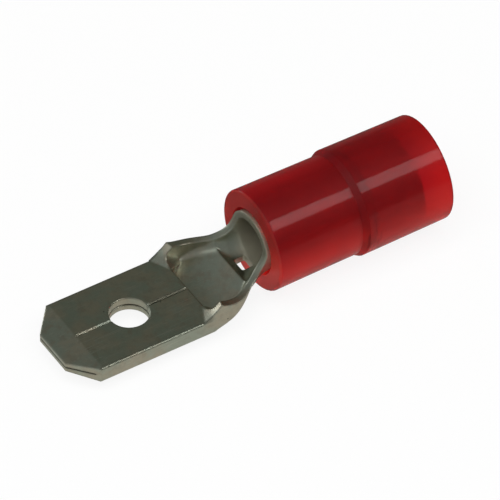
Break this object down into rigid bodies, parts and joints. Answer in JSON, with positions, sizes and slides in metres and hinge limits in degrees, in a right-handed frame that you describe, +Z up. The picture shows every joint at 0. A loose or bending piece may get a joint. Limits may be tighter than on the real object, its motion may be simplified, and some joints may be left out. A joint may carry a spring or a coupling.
{
  "type": "male spade terminal",
  "caption": "Flat folded tab with a detent hole, an open neck and a rolled wire barrel inside a stepped insulating sleeve, crimped onto a stranded wire.",
  "frame": {"origin": "on the surface that the terminal lies on, under the middle of its length and width", "axes": "+X along the barrel from the tab's tip to the wire entry, +Y across the tab, +Z up, square to the tab's flat faces"},
  "size_m": [0.0196, 0.0052, 0.0051],
  "materials": {
    "tin_plated_brass": "dull tin plating over brass, lightly scratched",
    "red_plastic": "smooth translucent moulded plastic",
    "tin_plated_ferrule": "dull tin plating"
  },
  "bodies": {
    "root": {"folded_terminal": "tin_plated_brass", "insulating_sleeve": "red_plastic", "grip_ferrule": "tin_plated_ferrule"}
  },
  "joints": []
}
